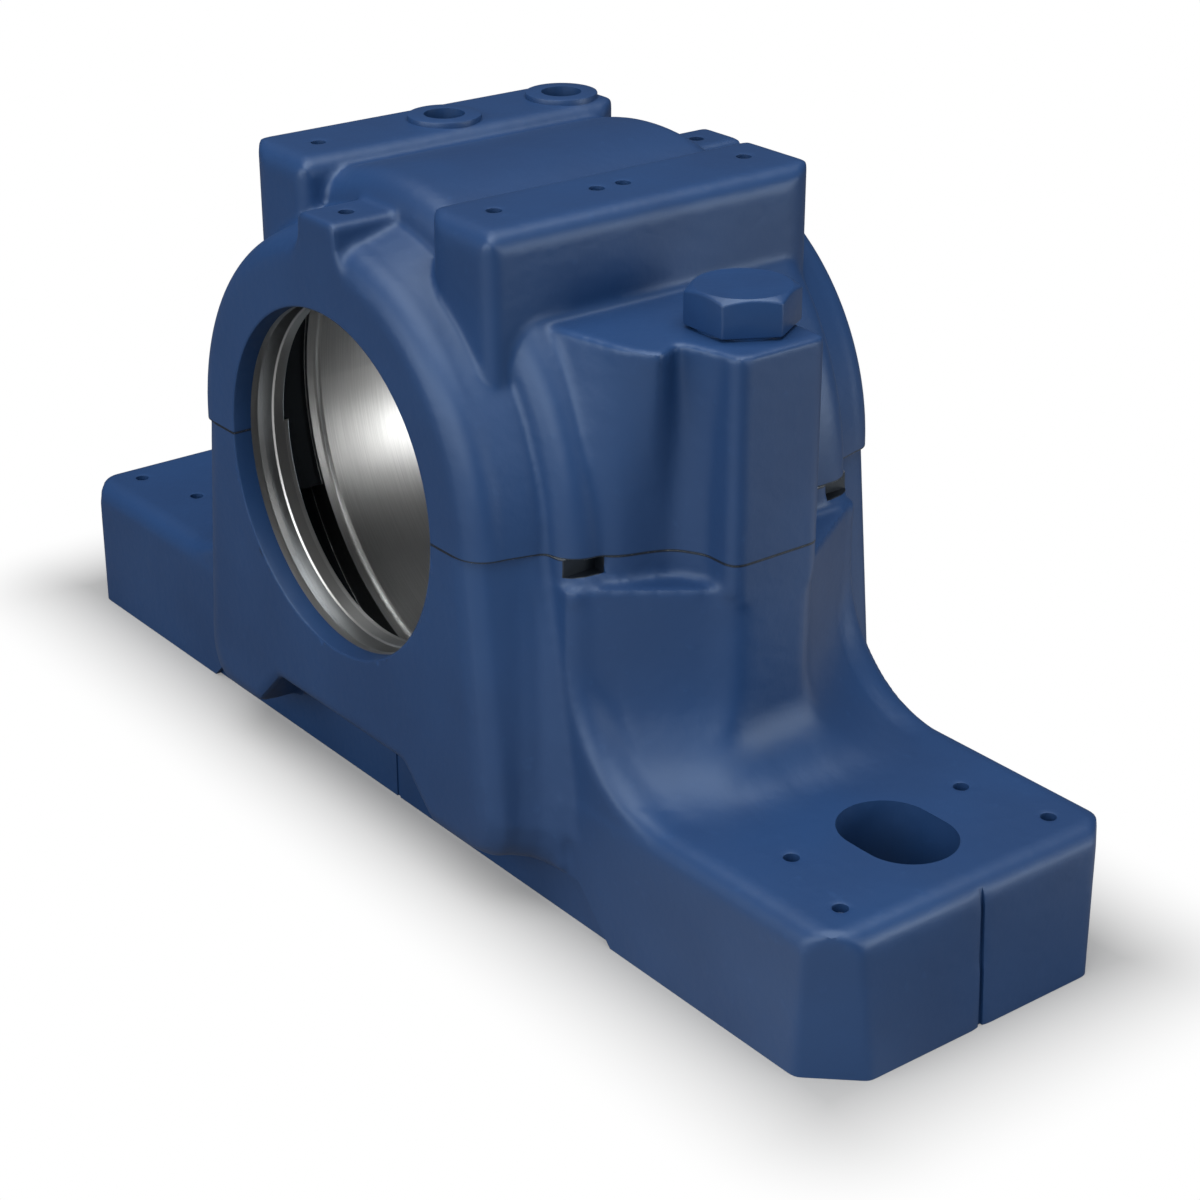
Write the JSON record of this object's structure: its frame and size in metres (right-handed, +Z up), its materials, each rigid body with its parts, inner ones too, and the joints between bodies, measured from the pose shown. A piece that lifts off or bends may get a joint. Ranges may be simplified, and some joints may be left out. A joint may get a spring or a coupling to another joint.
{
  "type": "split plummer block housing",
  "caption": "Split plummer block housing: cast foot-mounted base and cap joined by bolts, with a bearing seat, shaft openings with seal grooves and lubrication ports.",
  "frame": {"origin": "centre of the mounting face under the foot, straight below the shaft's axis", "axes": "+Z up from the mounting face, +Y along the shaft, +X along the foot"},
  "size_m": [0.255, 0.0942, 0.1266],
  "materials": {
    "painted_casting": "satin blue paint outside, bare machined iron in the bores",
    "painted_bolt": "satin blue paint",
    "steel_pin": "ground steel"
  },
  "bodies": {
    "root": {"housing_base": "painted_casting", "housing_cap": "painted_casting", "cap_bolt_right": "painted_bolt", "cap_bolt_left": "painted_bolt", "dowel_pin_right": "steel_pin", "dowel_pin_left": "steel_pin"}
  },
  "joints": []
}
